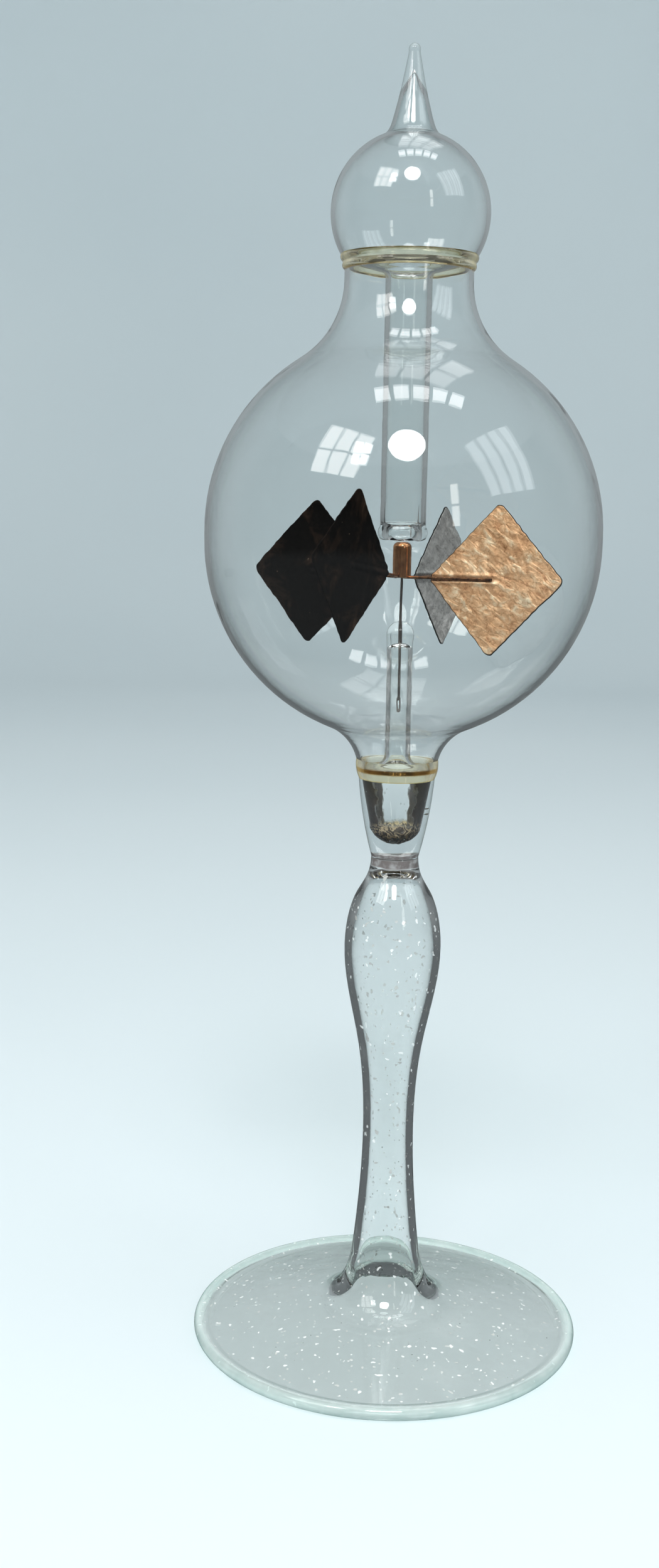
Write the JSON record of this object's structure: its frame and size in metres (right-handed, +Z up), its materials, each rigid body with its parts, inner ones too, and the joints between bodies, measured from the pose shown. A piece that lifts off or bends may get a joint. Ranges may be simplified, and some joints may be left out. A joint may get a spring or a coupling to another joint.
{
  "type": "crookes radiometer",
  "caption": "Light mill: diamond vanes that turn on a needle in a sealed glass globe, with an onion-shaped top bulb, on a baluster stem and round glass foot.",
  "frame": {"origin": "middle of the foot's underside, on the surface that the foot rests on", "axes": "+Z up the stem to the drawn tip, and the rotor turns about Z"},
  "size_m": [0.0818, 0.0818, 0.263],
  "materials": {
    "clear_glass": "clear blown glass, faintly blue-green, with small seeds",
    "seal_glass": "yellow-tinted fused seam",
    "needle_steel": "plain bright steel, slightly dulled",
    "cap_metal": "polished copper-coloured sleeve",
    "arm_wire": "drawn wire, browned",
    "mica": "bright crinkled mica with a warm sheen",
    "lampblack": "matt soot, worn brown near the edges"
  },
  "bodies": {
    "glass_body": {"foot": "clear_glass", "stem": "clear_glass", "stem_cup": "clear_glass", "lower_seal_ring": "seal_glass", "bulb": "clear_glass", "upper_seal_ring": "seal_glass", "finial": "clear_glass", "exhaust_tip": "clear_glass", "guard_tube": "clear_glass", "support_tube": "clear_glass", "needle": "needle_steel"},
    "rotor": {"pivot_cup": "clear_glass", "rotor_cap": "cap_metal", "arm_1": "arm_wire", "arm_2": "arm_wire", "arm_3": "arm_wire", "arm_4": "arm_wire", "vane_1": "mica", "vane_2": "mica", "vane_3": "mica", "vane_4": "mica", "vane_1_black": "lampblack", "vane_2_black": "lampblack", "vane_3_black": "lampblack", "vane_4_black": "lampblack"}
  },
  "joints": [
    {"name": "rotor_spin", "type": "hinge", "parent": "glass_body", "child": "rotor", "pos_m": [0, 0, 0.167], "axis": [0, 0, 1], "continuous": true}
  ]
}
